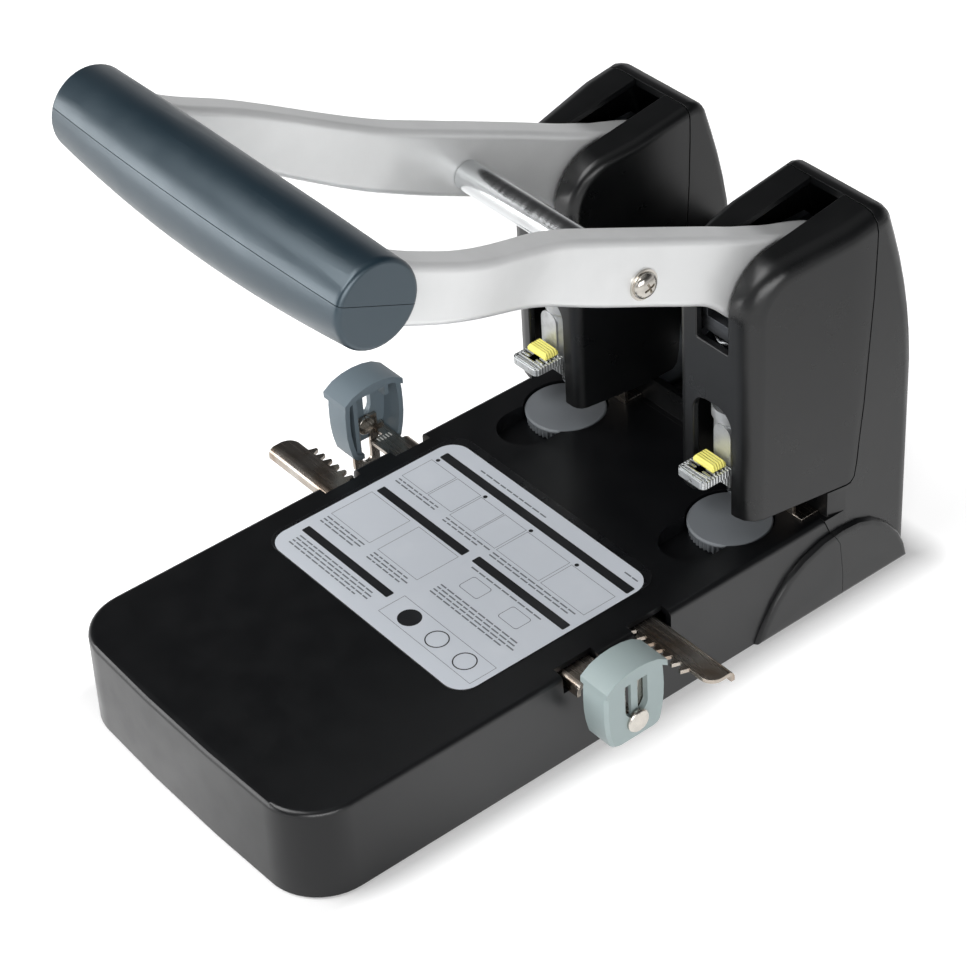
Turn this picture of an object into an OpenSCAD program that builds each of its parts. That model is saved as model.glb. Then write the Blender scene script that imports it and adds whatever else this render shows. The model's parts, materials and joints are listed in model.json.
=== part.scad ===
// Lever-operated heavy-duty paper punch with a geared centring guide.
// Units are millimetres. X runs along the row of holes, Y from the flat
// front of the base to the towers, Z up from the table.

/* [Base] */
// Width of the base at the table
base_w = 124; // [122:1:126]
// Length of the base, front to rear
base_l = 245; // [243:1:247]
// Height of the base's flat top
base_h = 33.7; // [33.4:0.1:34]
// Radius of the two front corners
base_corner_r = 19; // [12:1:24]
// Rounding along the base's top edge
base_edge_r = 2; // [1:0.5:3]
// Depth of each guide notch, inward from the side
notch_depth = 5; // [4:0.5:6]
// Wall of the moulded shells
wall = 2.5; // [2.2:0.1:2.8]

/* [Towers] */
// Distance between the two holes
hole_pitch = 80; // [79:0.5:81]
// Front face of the towers
tower_front = 56; // [55:0.5:56.5]
// Highest edge of the towers
tower_top = 140.2; // [138:0.2:142]
// Radius of the towers' front shoulder
shoulder_r = 18.5; // [16:0.5:20]
// Rounding along the towers' outer edges
tower_edge_r = 6; // [4:0.5:8]
// Rounding along the edges that face the gap between the towers
inner_edge_r = 3.4; // [3:0.2:5]
// Underside of the front shells, the top of the paper throat
throat_top = 43.5; // [43.5:0.1:44]
// Width of the slot that the arm swings in
slot_w = 14; // [13.4:0.2:14.6]
// Lower end of that slot in the front face
slot_bottom = 103.7; // [102.5:0.1:104]
// Width of the arch over the punch
arch_w = 17; // [16.6:0.2:17.4]
// Top of the arch
arch_top = 82; // [80:0.5:84]

/* [Lever] */
// Thickness of the cast arms
arm_t = 11; // [10.4:0.2:11.2]
// Edge rounding of the arms
arm_edge_r = 2.6; // [1.5:0.1:3]
// Sideways offset of the arms towards the grip
arm_joggle = 13.5; // [12:0.5:14.5]
// Half the length of the grip
grip_half = 66.8; // [65:0.2:70]
// Radius of the grip in the middle
grip_r_mid = 15; // [14.5:0.1:17]
// Radius of the grip at its ends
grip_r_end = 13.1; // [12.5:0.1:13.5]
// Tilt of the joint between the grip halves, in degrees
grip_seam_tilt = 23; // [0:1:40]
// Radius of the cross bar
bar_r = 5; // [4.5:0.1:6]
// Swing of the lever, in degrees
lever_swing = 19.5; // [15:0.5:19.5]

/* [Punches] */
// Outer radius of the hollow punch
punch_r = 3.2; // [2.8:0.1:3.4]
// Radius of the round punch board
dial_r = 13.7; // [12:0.1:14]
// Number of grip flutes round the punch board
dial_flutes = 48; // [36:1:60]
// Coils of each return spring
spring_turns = 5; // [3:1:6]
// Wire radius of the return spring
spring_wire_r = 0.7; // [0.5:0.1:0.8]

/* [Guide] */
// Tooth module of the rack and pinion
gear_module = 1.25; // [1.25:0.05:1.3]
// Teeth of the pinion
pinion_teeth = 14; // [14:2:16]
// Thickness of the guide plates
plate_t = 1.4; // [1.2:0.1:1.4]
// Reach of each guide plate past the centre
plate_reach = 91.5; // [88:0.5:94]
// Height of the raised left stop above the right one
stop_raise = 13.5; // [0:0.5:13.5]

/* [Output] */
// Which piece is drawn

/* [Hidden] */
$fn = 64;

// Base
half_w = base_w / 2;
front_y = -base_l / 2;
rear_y = base_l / 2;
draft = 0.6;
cover_foot = 0.6;
skin_z = base_h - 2.5;
mat_t = 2;
bottom_t = 2.5;
bottom_top = mat_t + bottom_t;
inner_gap = 0.4;
label_w = 99.6;
label_l = 80;
label_r = 7;
far = 200;

// Towers
hx = hole_pitch / 2;
punch_y = 66;
tower_in = 20.8;
tower_out = half_w - 0.2;
flare_y = 92.5;
flare_k = 0.156;
waist_y = 81;
waist_k = 0.14;
arc_base_z = 70;
arc_2r = 360;
shoulder_drop = 4.8;
bridge_top = 88;
bridge_y = 85.5;
seam_gap = 0.15;
seam = [[94.2, throat_top], [96, throat_top + 1.6], [96.9, 50],
        [97.6, 58], [99.2, 72], [100.6, 91], [102, 112], [102.6, 129],
        [102.7, 150]];
base_seam = [[90.3, -1], [90.1, 10], [88.5, 23], [85.4, 29],
             [83.4, base_h + 0.3]];

// Lever
pivot_y = 94;
pivot_z = 119;
pivot_r = 4;
pin_arm = 29.9;
pin_rest = 2;
pin_r = 2.5;
pin_y = pivot_y - pin_arm * cos(pin_rest);
pin_z = pivot_z - pin_arm * sin(pin_rest);
pin_y_low = pivot_y - pin_arm * cos(pin_rest + lever_swing);
running = 0.05;
grip_y = -81.3;
grip_z = 198.2;
grip_inside = grip_half - 4;
grip_flat = 1.6;
grip_sag = 1.6;
bar_y = 24.4;
bar_z = 144;
rod_r = 4;

// Frame
frame_in = 9.5;
frame_t = 2.5;
guide_z = 83;
guide_t = 3;
shaft_r = 5.2;
web_bottom = 105;
web_top = 110.2;
holder_top = 78;
holder_bottom = 50;
tip_z = throat_top - 0.1;

// Guide
guide_y = -2.5;
plate_z = 30;
pitch_r = gear_module * pinion_teeth / 2;
tooth_p = PI * gear_module;
backlash = 0.3;
pressure = 20;
rack_line = guide_y - pitch_r;
rack_tip = rack_line + 0.8 * gear_module;
rack_root = rack_line - 1.25 * gear_module;
plate_out_y = -22.4;
lip_r = 2.6;
neck_y = -19.2;
block_x0 = 69.5;
block_x1 = 80;
block_y = -11.4;
block_z = 14.1;
rivet_z = 7.4;
block_wall = 1.8;
tab_x0 = 76.2;
tab_x1 = 77.5;

// Punch boards
dial_y = 63.2;
dial_top = 33.2;
dial_floor = 28.4;
dial_post_r = 3;

// ---------------------------------------------------------------- helpers

// Extrudes a Y-Z outline along X.
module yz(x0, x1) {
    translate([x0, 0, 0])
        rotate([90, 0, 90])
            linear_extrude(height = x1 - x0) children();
}

// Extrudes an X-Z outline along Y.
module xz(y0, y1) {
    translate([0, y1, 0])
        rotate([90, 0, 0])
            linear_extrude(height = y1 - y0) children();
}

module box(a, b) {
    translate(a) cube(b - a);
}

module rod_x(x0, x1, y, z, r) {
    translate([x0, y, z])
        rotate([0, 90, 0])
            cylinder(h = x1 - x0, r = r);
}

module mirrored() {
    mirror([1, 0, 0]) children();
}

module both_sides() {
    children();
    mirrored() children();
}

// Half turn about the pinion's axis.
module half_turn() {
    translate([0, 2 * guide_y, 0])
        rotate([0, 0, 180])
            children();
}

function mix(a, b, t) = a + (b - a) * t;
function clamp01(t) = max(0, min(1, t));
function smooth(t) = t * t * (3 - 2 * t);

// ------------------------------------------------------------------- base

module base_plan(inset = 0) {
    r = base_corner_r;
    offset(delta = -inset)
        hull() {
            for (s = [-1, 1])
                translate([s * (half_w - r), front_y + 0.9 + r])
                    circle(r = r, $fn = 48);
            translate([-half_w, 60]) square([base_w, 50]);
            polygon([[-16, front_y], [16, front_y], [0, 0]]);
        }
}

module slab(inset, z0, z1) {
    translate([0, 0, z0])
        linear_extrude(height = z1 - z0) base_plan(inset);
}

module base_block() {
    r = base_edge_r;
    hull() {
        slab(0, cover_foot - 0.4, cover_foot + 1);
        for (a = [0, 30, 60, 90])
            slab(draft + r * (1 - cos(a)), 8, base_h - r * (1 - sin(a)));
    }
}

module in_front_of_base_seam() {
    yz(-far, far)
        polygon(concat([[-far, cover_foot], [base_seam[0][0], cover_foot]],
                       [for (i = [1 : len(base_seam) - 1]) base_seam[i]],
                       [[-far, base_h + 0.3]]));
}

// The raised foot that sweeps over the joint between base and housing.
module foot_outline() {
    polygon([[53, 0.1], [55.5, 5.6], [60.5, 13.4], [66.5, 20], [73.4, 24.2],
             [82, 27], [90, 27.9], [97.5, 27.2], [104, 24.6], [110.5, 19.4],
             [116, 12.6], [119, 6.5], [120.6, 0.1]]);
}

module foot() {
    x0 = half_w - 2.4;
    hull() {
        yz(x0, half_w + 0.2) foot_outline();
        yz(x0, half_w + 1.3) offset(delta = -0.7) foot_outline();
        yz(x0, half_w + 1.9) offset(delta = -2.2) foot_outline();
    }
}

module finger_pocket_plan(grow = 0) {
    translate([hx, dial_y]) circle(r = 14.3 + grow);
    hull() {
        translate([hx, 45.9]) circle(r = 9.8 + grow);
        translate([hx, 56]) circle(r = 9.8 + grow);
    }
}

module base_cover() {
    color([0.09, 0.09, 0.1])
        difference() {
            union() {
                difference() {
                    intersection() {
                        union() {
                            base_block();
                            both_sides() foot();
                        }
                        in_front_of_base_seam();
                    }
                    translate([0, 0, -1])
                        linear_extrude(height = skin_z + 1)
                            union() {
                                base_plan(wall + 0.5);
                                translate([wall + 0.5 - half_w, 80])
                                    square([base_w - 2 * wall - 1, 40]);
                            }
                    box([-57.5, -24, skin_z - 1], [57.5, 19.5, base_h - 2]);
                }
                // floors of the finger pockets
                both_sides()
                    translate([0, 0, dial_floor - 2.4])
                        linear_extrude(height = skin_z - dial_floor + 2.6)
                            finger_pocket_plan(2.2);
                // ribs under the long top
                for (y = [-96, -72, -48])
                    box([2 * wall - half_w, y, 20], [half_w - 2 * wall, y + 1.6, skin_z + 0.2]);
            }
            both_sides()
                translate([0, 0, dial_floor])
                    linear_extrude(height = 10) finger_pocket_plan();
            // notches that let the guide plates out
            both_sides() {
                box([half_w - notch_depth, -24, 27], [half_w + 1, -9.5, base_h + 1]);
                box([half_w - notch_depth, 4.5, 27], [half_w + 1, 19, base_h + 1]);
            }
        }
    color([0.09, 0.09, 0.1])
        both_sides()
            translate([hx, dial_y, dial_floor - 0.5])
                cylinder(h = 3, r = dial_post_r);
}

module bottom_plan(gap) {
    intersection() {
        offset(r = 6, $fn = 32)
            offset(delta = -6)
                union() {
                    base_plan(wall + 0.5 + gap);
                    translate([wall + 0.5 + gap - half_w, 0])
                        square([base_w - 2 * wall - 1 - 2 * gap, rear_y - wall - 0.5 - gap]);
                }
        square([far, far * 2], center = true);
    }
}

module base_bottom() {
    color([0.3, 0.3, 0.31])
        translate([0, 0, mat_t])
            linear_extrude(height = bottom_t) bottom_plan(inner_gap);
}

module non_slip_mat() {
    color([0.14, 0.14, 0.14])
        difference() {
            linear_extrude(height = mat_t) bottom_plan(inner_gap);
            for (y = [-90 : 30 : 90])
                box([-46, y, -1], [46, y + 3, 0.6]);
        }
}

module label_plate() {
    color([0.8, 0.82, 0.84])
        translate([-2.2, -12.5, base_h + 0.02])
            linear_extrude(height = 0.25)
                offset(r = label_r)
                    square([label_w - 2 * label_r, label_l - 2 * label_r], center = true);
}

// ----------------------------------------------------------------- towers

function shoulder(a) = [tower_front + shoulder_r + shoulder_r * cos(a),
                        tower_top - shoulder_drop - shoulder_r + shoulder_r * sin(a)];
function back_y(z) = rear_y - pow(max(0, z - arc_base_z), 2) / arc_2r;
function roof_z(y) = let (p = shoulder(95))
    mix(p[1], tower_top, (y - p[0]) / (rear_y - 17.5 - p[0]));
corner_r = 6.6;
function rear_corner(a) = [rear_y - 18 + corner_r * cos(a),
                           tower_top - corner_r + corner_r * sin(a)];

// Side outline of a tower, clockwise seen from +X, lowest front point first.
tower_side = concat(
    [[tower_front, -12]],
    [for (a = [180 : -8.5 : 95]) shoulder(a)],
    [for (y = [waist_y, flare_y]) [y, roof_z(y)]],
    [for (a = [88, 62, 38, 20]) rear_corner(a)],
    [for (i = [0 : 5]) let (z = mix(tower_top - 13, arc_base_z + 9, i / 5)) [back_y(z), z]],
    [[rear_y, arc_base_z - 4], [rear_y, -12], [flare_y, -12], [waist_y, -12]]
);

function edge_normal(a, b) = let (d = b - a) [-d[1], d[0]] / norm(d);

// The outline drawn in by d, with its corners kept as corners. A point on a
// straight run keeps its Y, so that the bends of the sides stay straight.
function drawn_in(p, d) =
    let (n = len(p))
    [for (i = [0 : n - 1])
        let (u = edge_normal(p[(i + n - 1) % n], p[i]),
             v = edge_normal(p[i], p[(i + 1) % n]))
        u * v > 0.99999 ? [p[i][0], p[i][1] - d / u[1]]
                        : p[i] - d * (u + v) / (1 + u * v)];

function fan(q) = [for (i = [1 : len(q) - 2]) [q[0], q[i], q[i + 1]]];

// The outside of one tower, or its inside when grow is the wall.
module tower_body(grow = 0) {
    turn = [90, 60, 30, 0];
    levels = concat([for (a = turn) [-1, a, max(0.5, inner_edge_r - grow)]],
                    [for (i = [3 : -1 : 0]) [1, turn[i], max(0.5, tower_edge_r - grow)]]);
    rings = [for (l = levels)
        let (c = l[2] * (1 - sin(l[1])))
        [for (p = drawn_in(tower_side, grow + l[2] * (1 - cos(l[1]))))
            [l[0] < 0
                ? tower_in + grow + c + waist_k * max(0, waist_y - p[0])
                : tower_out - grow - c - flare_k * max(0, flare_y - p[0]),
             p[0], p[1]]]];
    n = len(tower_side);
    m = len(levels);
    side = [for (j = [0 : m - 2], i = [0 : n - 1])
        let (a = j * n + i, b = j * n + (i + 1) % n)
        each [[a, b, a + n], [b, b + n, a + n]]];
    // each flat side is two fans that meet at its bend
    w = 12;
    f = 13;
    o = (m - 1) * n;
    inner = concat(fan([each [5 : -1 : 0], n - 1, each [w : -1 : 6]]),
                   fan([each [19 : -1 : w], each [n - 1 : -1 : 20]]));
    outer = concat(fan([each [5 : f], n - 2, n - 1, each [0 : 4]]),
                   fan([each [19 : n - 2], each [f : 18]]));
    polyhedron(points = [for (q = rings) each q],
               faces = concat(side, inner, [for (c = outer) [for (i = c) o + i]]),
               convexity = 4);
}

module arch_outline() {
    r = 6.5;
    translate([hx - 0.4, 0]) {
        translate([-arch_w / 2, 0]) square([arch_w, arch_top - r]);
        hull()
            for (s = [-1, 1])
                translate([s * (arch_w / 2 - r), arch_top - r])
                    circle(r = r);
    }
}

module front_shell() {
    difference() {
        intersection() {
            tower_body();
            yz(0, far)
                polygon(concat([[0, throat_top]], seam, [[0, 150]]));
        }
        tower_body(wall);
        // slot over the shoulder for the arm
        box([hx - 0.2 - slot_w / 2, 0, slot_bottom],
            [hx - 0.2 + slot_w / 2, far, far]);
        xz(0, tower_front + 8) arch_outline();
    }
}

module front_shell_right() {
    color([0.12, 0.12, 0.13]) front_shell();
}

module front_shell_left() {
    color([0.12, 0.12, 0.13]) mirrored() front_shell();
}

module behind_seams() {
    yz(-far, far)
        polygon(concat(
            [for (p = base_seam) [p[0] + seam_gap, p[1] < 0 ? cover_foot : min(p[1], base_h)]],
            [[bridge_y, base_h], [bridge_y, throat_top - 0.3],
             [seam[0][0] + 0.3, throat_top - 0.3]],
            [for (i = [1 : len(seam) - 1]) [seam[i][0] + seam_gap, seam[i][1]]],
            [[far, 150], [far, cover_foot]]
        ));
}

module bridge_profile(inset = 0) {
    offset(delta = -inset)
        polygon(concat(
            [[bridge_y, -20], [bridge_y, bridge_top - 3],
             [bridge_y + 0.9, bridge_top - 0.9], [bridge_y + 3, bridge_top]],
            [for (z = [bridge_top : -6 : arc_base_z]) [back_y(z) - 0.4, z]],
            [[rear_y - 0.4, -20]]
        ));
}

module rear_housing() {
    color([0.1, 0.1, 0.11])
        difference() {
            union() {
                intersection() {
                    union() {
                        both_sides() tower_body();
                        box([0.03 - tower_out, 80, cover_foot], [tower_out - 0.03, 96, base_h]);
                        both_sides() foot();
                    }
                    behind_seams();
                }
                intersection() {
                    yz(-30, 30) bridge_profile();
                    behind_seams();
                }
            }
            // inside, open towards the base and the front shells
            intersection() {
                both_sides() tower_body(wall);
                yz(-far, far)
                    polygon([[80, -1], [80, skin_z], [88, skin_z], [88, 40.8],
                             [96, 40.8], [96, 150], [far, 150], [far, -1]]);
            }
            yz(-30, 30)
                intersection() {
                    bridge_profile(wall);
                    translate([0, -1]) square([far, far]);
                }
            box([wall - tower_out, 79, -1], [tower_out - wall, 110, skin_z]);
            // way through for the steel frames
            both_sides()
                box([hx - frame_in - frame_t - 0.4, 89, skin_z],
                    [hx + frame_in + frame_t + 0.4, 97, 50]);
            // mouth of the chip tray
            box([-27, 118, bottom_top + 0.2], [27, 130, 31.6]);
        }
}

// ------------------------------------------------------------ steel frame

module frame_side() {
    polygon([[89.5, bottom_top + 0.1], [109, bottom_top + 0.1], [109, 119],
             [105, 124.5], [88, 124.5], [76, 111], [61, 99], [61, 79], [64, 76],
             [89.5, 76]]);
}

module frame() {
    gap = frame_in + frame_t;
    difference() {
        union() {
            for (x = [hx - gap, hx + frame_in])
                yz(x, x + frame_t) frame_side();
            box([hx - gap, 61, guide_z], [hx + gap, 80, guide_z + guide_t]);
            box([hx - gap, 106.5, bottom_top + 0.1], [hx + gap, 109, 100]);
            translate([hx, punch_y, holder_top + 1])
                cylinder(h = guide_z - holder_top, r = 7.4);
        }
        translate([hx, punch_y, 60])
            cylinder(h = 40, r = shaft_r + running);
        rod_x(0, far, pivot_y, pivot_z, pivot_r);
    }
}

module frame_right() {
    color([0.55, 0.56, 0.58]) frame();
}

module frame_left() {
    color([0.55, 0.56, 0.58]) mirrored() frame();
}

module paper_stops() {
    color([0.75, 0.76, 0.78])
        both_sides() {
            box([27, 78, base_h + 0.02], [53, 79.4, 46]);
            box([27, 78, base_h + 0.02], [57, bridge_y - 0.1, base_h + 0.9]);
        }
}

module pivot_shafts() {
    color([0.7, 0.71, 0.73])
        both_sides()
            rod_x(hx - 13.2, hx + 13.2, pivot_y, pivot_z, pivot_r);
}

module pivot_bushes() {
    color([0.6, 0.5, 0.3])
        both_sides()
            for (x = [hx - frame_in + 0.05, hx + arm_t / 2 + 0.15])
                difference() {
                    rod_x(x, x + frame_in - arm_t / 2 - 0.2, pivot_y, pivot_z, 6.5);
                    rod_x(0, far, pivot_y, pivot_z, pivot_r);
                }
}

// ------------------------------------------------------------------ lever

// Paired points on the arm's upper and lower edge, front to rear.
arm_top = [[-90.8, 202.6], [-86, 206.6], [-76.2, 205.8], [-60, 196.8],
           [-40, 187.5], [-20, 178.4], [0, 169.6], [20, 160.8], [40, 152],
           [55, 145.3], [66, 140.2], [74, 136.9], [81, 134], [87, 132],
           [93, 130], [98.5, 127.6], [102.6, 124.2], [104.4, 120.2],
           [104.3, 116.6]];
arm_low = [[-91, 197.6], [-90.2, 193], [-86.2, 189.4], [-70.3, 181.4],
           [-49.5, 172], [-30.5, 162.3], [-11, 152.3], [8.5, 142.4],
           [28, 133.3], [41, 127.1], [49.5, 123], [55.2, 118.4],
           [59.5, 114], [64, 111.6], [72, 111.2], [82, 109.9],
           [92, 108.9], [98.5, 109.9], [102.2, 113.4]];
arm_sub = 2;

function spline(p, i, t) =
    let (n = len(p) - 1,
         a = p[max(0, i - 1)], b = p[i],
         c = p[min(n, i + 1)], d = p[min(n, i + 2)])
    0.5 * (2 * b + (c - a) * t + (2 * a - 5 * b + 4 * c - d) * t * t
           + (3 * b - a - 3 * c + d) * t * t * t);
function arm_x(y) = hx + arm_joggle * smooth(clamp01(-y / 54));

// One rounded-rectangle ring of the arm between an upper and a lower point.
function arm_ring(p, q, r) =
    let (w = (p - q) / norm(p - q), h = norm(p - q) / 2,
         m = (p + q) / 2, x = arm_x((p[0] + q[0]) / 2))
    [for (k = [0 : 3], j = [0 : 2])
        let (a = 45 + 90 * k + 45 * (j - 1),
             sx = (k == 0 || k == 3) ? 1 : -1,
             sw = k < 2 ? 1 : -1,
             u = sx * (arm_t / 2 - r) + r * cos(a),
             v = sw * (h - r) + r * sin(a))
        [x + u, m[0] + w[0] * v, m[1] + w[1] * v]];

module arm_blank() {
    n = len(arm_top) - 1;
    steps = n * arm_sub;
    rings = [for (s = [0 : steps])
        let (i = min(n - 1, floor(s / arm_sub)), t = s / arm_sub - i)
        arm_ring(spline(arm_top, i, t), spline(arm_low, i, t), arm_edge_r)];
    m = 12;
    pts = [for (r = rings) for (p = r) p];
    side = [for (s = [0 : steps - 1], k = [0 : m - 1])
        let (a = s * m + k, b = s * m + (k + 1) % m)
        each [[a, b, a + m], [b, b + m, a + m]]];
    first = [[for (k = [m - 1 : -1 : 0]) k]];
    last = [[for (k = [0 : m - 1]) steps * m + k]];
    polyhedron(points = pts, faces = concat(side, first, last), convexity = 6);
}

module lever_arm() {
    difference() {
        arm_blank();
        rod_x(0, far, pivot_y, pivot_z, pivot_r + running);
        rod_x(0, far, pin_y, pin_z, pin_r);
        rod_x(0, far, bar_y, bar_z, 2.6);
        rod_x(0, far, grip_y, grip_z, rod_r + 0.02);
    }
}

module lever_arm_right() {
    color([0.85, 0.85, 0.84]) lever_arm();
}

module lever_arm_left() {
    color([0.85, 0.85, 0.84]) mirrored() lever_arm();
}

// The grip bulges and its underside hangs a little lower mid-length.
function grip_ring(x, r, m) =
    let (u = 1 - pow(x / grip_half, 2), rise = grip_flat * u, hang = grip_sag * u)
    [for (k = [0 : m - 1])
        let (a = 360 * k / m, s = sin(a + 53), q = r + (s > 0 ? -rise : hang) * s * s)
        [x, q * cos(a), q * sin(a)]];

module barrel() {
    m = 48;
    e = 1.8;
    span = grip_half - e;
    swell = grip_r_mid - grip_r_end;
    stations = concat(
        [for (a = [84, 60, 36, 12]) [-span - e * sin(a), grip_r_end - e + e * cos(a)]],
        [for (i = [0 : 14])
            let (u = -1 + 2 * i / 14) [u * (span - 0.6), grip_r_mid - swell * u * u]],
        [for (a = [12, 36, 60, 84]) [span + e * sin(a), grip_r_end - e + e * cos(a)]]
    );
    n = len(stations);
    pts = [for (s = stations) each grip_ring(s[0], s[1], m)];
    side = [for (j = [0 : n - 2], k = [0 : m - 1])
        let (a = j * m + k, b = j * m + (k + 1) % m)
        each [[a, a + m, b], [b, a + m, b + m]]];
    polyhedron(points = pts,
               faces = concat(side, [[for (k = [0 : m - 1]) k]],
                              [[for (k = [m - 1 : -1 : 0]) (n - 1) * m + k]]),
               convexity = 2);
}

// Room in the grip for the ends of the two arms.
module arm_sockets() {
    r = 10.9;
    both_sides()
        yz(hx + arm_joggle - arm_t / 2 - 0.1, hx + arm_joggle + arm_t / 2 + 0.1)
            hull() {
                translate([grip_y, grip_z]) circle(r = r);
                translate([grip_y + 26, grip_z - 14.2]) circle(r = r);
            }
}

module grip_solid() {
    difference() {
        translate([0, grip_y, grip_z]) barrel();
        arm_sockets();
        rod_x(0.6 - grip_inside, grip_inside - 0.6, grip_y, grip_z, rod_r + 0.05);
    }
}

module seam_half(side) {
    translate([0, grip_y, grip_z])
        rotate([-grip_seam_tilt, 0, 0])
            box([-80, -40, side > 0 ? 0.08 : -40], [80, 40, side > 0 ? 40 : -0.08]);
}

module grip_upper() {
    color([0.2, 0.25, 0.29])
        intersection() {
            grip_solid();
            seam_half(1);
        }
}

module grip_lower() {
    color([0.17, 0.21, 0.25])
        intersection() {
            grip_solid();
            seam_half(-1);
        }
}

module grip_rod() {
    color([0.6, 0.61, 0.63])
        rod_x(1 - grip_inside, grip_inside - 1, grip_y, grip_z, rod_r);
}

module crossbar() {
    color([0.78, 0.79, 0.8])
        difference() {
            rod_x(0.1 + arm_t / 2 - hx, hx - arm_t / 2 - 0.1, bar_y, bar_z, bar_r);
            both_sides()
                rod_x(hx - arm_t / 2 - 14, hx, bar_y, bar_z, 2.55);
        }
}

module screw_profile() {
    rotate_extrude()
        polygon([[0, 0], [4.9, 0], [4.9, 0.7], [4.2, 0.7], [4.1, 1.3], [3.8, 1.9],
                 [3.1, 2.5], [2.2, 2.9], [1.1, 3.1], [0, 3.15]]);
}

module crossbar_screws() {
    color([0.72, 0.7, 0.66])
        both_sides()
            difference() {
                union() {
                    translate([hx + arm_t / 2 + 0.02, bar_y, bar_z])
                        rotate([0, 90, 0]) screw_profile();
                    rod_x(hx - arm_t / 2 - 12, hx + arm_t / 2 + 0.1, bar_y, bar_z, 2.5);
                }
                // cross recess
                translate([hx + arm_t / 2 + 2, bar_y, bar_z])
                    for (a = [0, 90])
                        rotate([a + 20, 0, 0])
                            box([0, -1.9, -0.4], [3, 1.9, 0.4]);
            }
}

module drive_pins() {
    color([0.66, 0.67, 0.69])
        both_sides()
            rod_x(hx - 8.3, hx + 8.3, pin_y, pin_z, pin_r - 0.01);
}

// ------------------------------------------------------------------- rams

module cheek_outline() {
    r = 4.6;
    hull() {
        for (y = [pin_y, pin_y_low])
            translate([y, pin_z]) circle(r = r);
        translate([pin_y - r, web_bottom]) square([pin_y_low - pin_y + 2 * r, 2]);
    }
}

module ram() {
    gap = arm_t / 2 + 0.4;
    cheek = 2.3;
    difference() {
        union() {
            for (x = [hx - gap - cheek, hx + gap])
                yz(x, x + cheek) cheek_outline();
            yz(hx - gap - cheek, hx + gap + cheek)
                translate([pin_y - 4.6, web_bottom])
                    square([pin_y_low - pin_y + 9.2, web_top - web_bottom]);
            translate([hx, punch_y, holder_top])
                cylinder(h = web_bottom - holder_top + 1, r = shaft_r);
            translate([hx, punch_y, holder_top - 10])
                cylinder(h = 12, r = 4);
        }
        // level slots that turn the arm's swing into a straight stroke
        yz(0, far)
            hull()
                for (y = [pin_y - 0.3, pin_y_low + 0.3])
                    translate([y, pin_z]) circle(r = pin_r + 0.25);
    }
}

module ram_right() {
    color([0.5, 0.51, 0.53]) ram();
}

module ram_left() {
    color([0.5, 0.51, 0.53]) mirrored() ram();
}

hinge_y = 59.4;
hinge_z = 54;

module punch_holder() {
    difference() {
        union() {
            translate([hx, punch_y, 0])
                rotate_extrude()
                    polygon([[0, holder_bottom], [5.4, holder_bottom], [6.2, holder_bottom + 1],
                             [7, holder_bottom + 5], [7, 73], [7.8, 74], [7.8, holder_top],
                             [0, holder_top]]);
            // rounded latch pad on the front
            xz(58.6, punch_y - 1)
                translate([hx + 1.4, 0]) {
                    translate([-3.8, 58.5]) square([7.6, 11]);
                    translate([0, 69.5]) circle(r = 3.8);
                }
            box([hx - 2, hinge_y - 1, 51.4], [hx + 2, 62, 57]);
            rod_x(hx - 2, hx + 2, hinge_y, hinge_z, 2.6);
        }
        translate([hx, punch_y, 0]) {
            translate([0, 0, holder_top - 10.5]) cylinder(h = 20, r = 4.02);
            translate([0, 0, 40]) cylinder(h = 22, r = punch_r + 0.02);
            translate([0, 0, 60]) cylinder(h = 6, r = punch_r - 0.6);
        }
        // room for the cheeks of the release lever
        for (x = [hx - 5.9, hx + 2])
            rod_x(x, x + 3.9, hinge_y, hinge_z, 2.8);
        // way out for the chips, to the rear
        box([hx - 2.4, punch_y, 62], [hx + 2.4, punch_y + 10, 66]);
        rod_x(0, far, hinge_y, hinge_z, 1.55);
    }
}

module punch_holder_right() {
    color([0.72, 0.73, 0.74]) punch_holder();
}

module punch_holder_left() {
    color([0.72, 0.73, 0.74]) mirrored() punch_holder();
}

module hollow_punch() {
    translate([hx, punch_y, 0])
        rotate_extrude()
            polygon([[punch_r - 0.35, tip_z], [punch_r, tip_z + 1.2],
                     [punch_r, 61.8], [punch_r - 0.8, 61.8],
                     [punch_r - 0.8, tip_z + 2]]);
}

module hollow_punch_right() {
    color([0.8, 0.81, 0.82]) hollow_punch();
}

module hollow_punch_left() {
    color([0.8, 0.81, 0.82]) mirrored() hollow_punch();
}

module release_lever() {
    z0 = 56.9;
    z1 = 59.4;
    difference() {
        union() {
            translate([0, 0, z0])
                linear_extrude(height = z1 - z0)
                    hull() {
                        for (s = [-1, 1])
                            translate([hx + s * 4.2, 48.2]) circle(r = 2);
                        translate([hx - 6.2, 56.8]) square([12.4, 1.2]);
                    }
            // finger ribs
            for (y = [46.9 : 1.6 : 57])
                box([hx - 5, y, z1 - 0.2], [hx + 5, y + 0.7, z1 + 0.5]);
            for (x = [hx - 5.6, hx + 2.2])
                hull() {
                    rod_x(x, x + 3.4, hinge_y, hinge_z, 2.6);
                    box([x, 53.5, z0], [x + 3.4, 57.9, z0 + 0.5]);
                }
            rod_x(hx - 5.6, hx + 5.6, hinge_y, hinge_z, 1.5);
        }
        box([hx - 1.6, 49.8, z0 - 1], [hx + 1.6, 56.3, z1 + 1]);
    }
}

module release_lever_right() {
    color([0.7, 0.72, 0.72]) release_lever();
}

module release_lever_left() {
    color([0.7, 0.72, 0.72]) mirrored() release_lever();
}

module button() {
    hull() {
        box([hx - 4.6, 51.8, 60], [hx + 4.6, 57.4, 61.2]);
        box([hx - 3.9, 52.6, 60], [hx + 3.9, 56.8, 62.4]);
    }
    box([hx - 1.4, 53.2, 57.4], [hx + 1.4, 56, 60.2]);
}

module button_right() {
    color([0.98, 0.82, 0.2]) button();
}

module button_left() {
    color([0.98, 0.82, 0.2]) mirrored() button();
}

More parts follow.
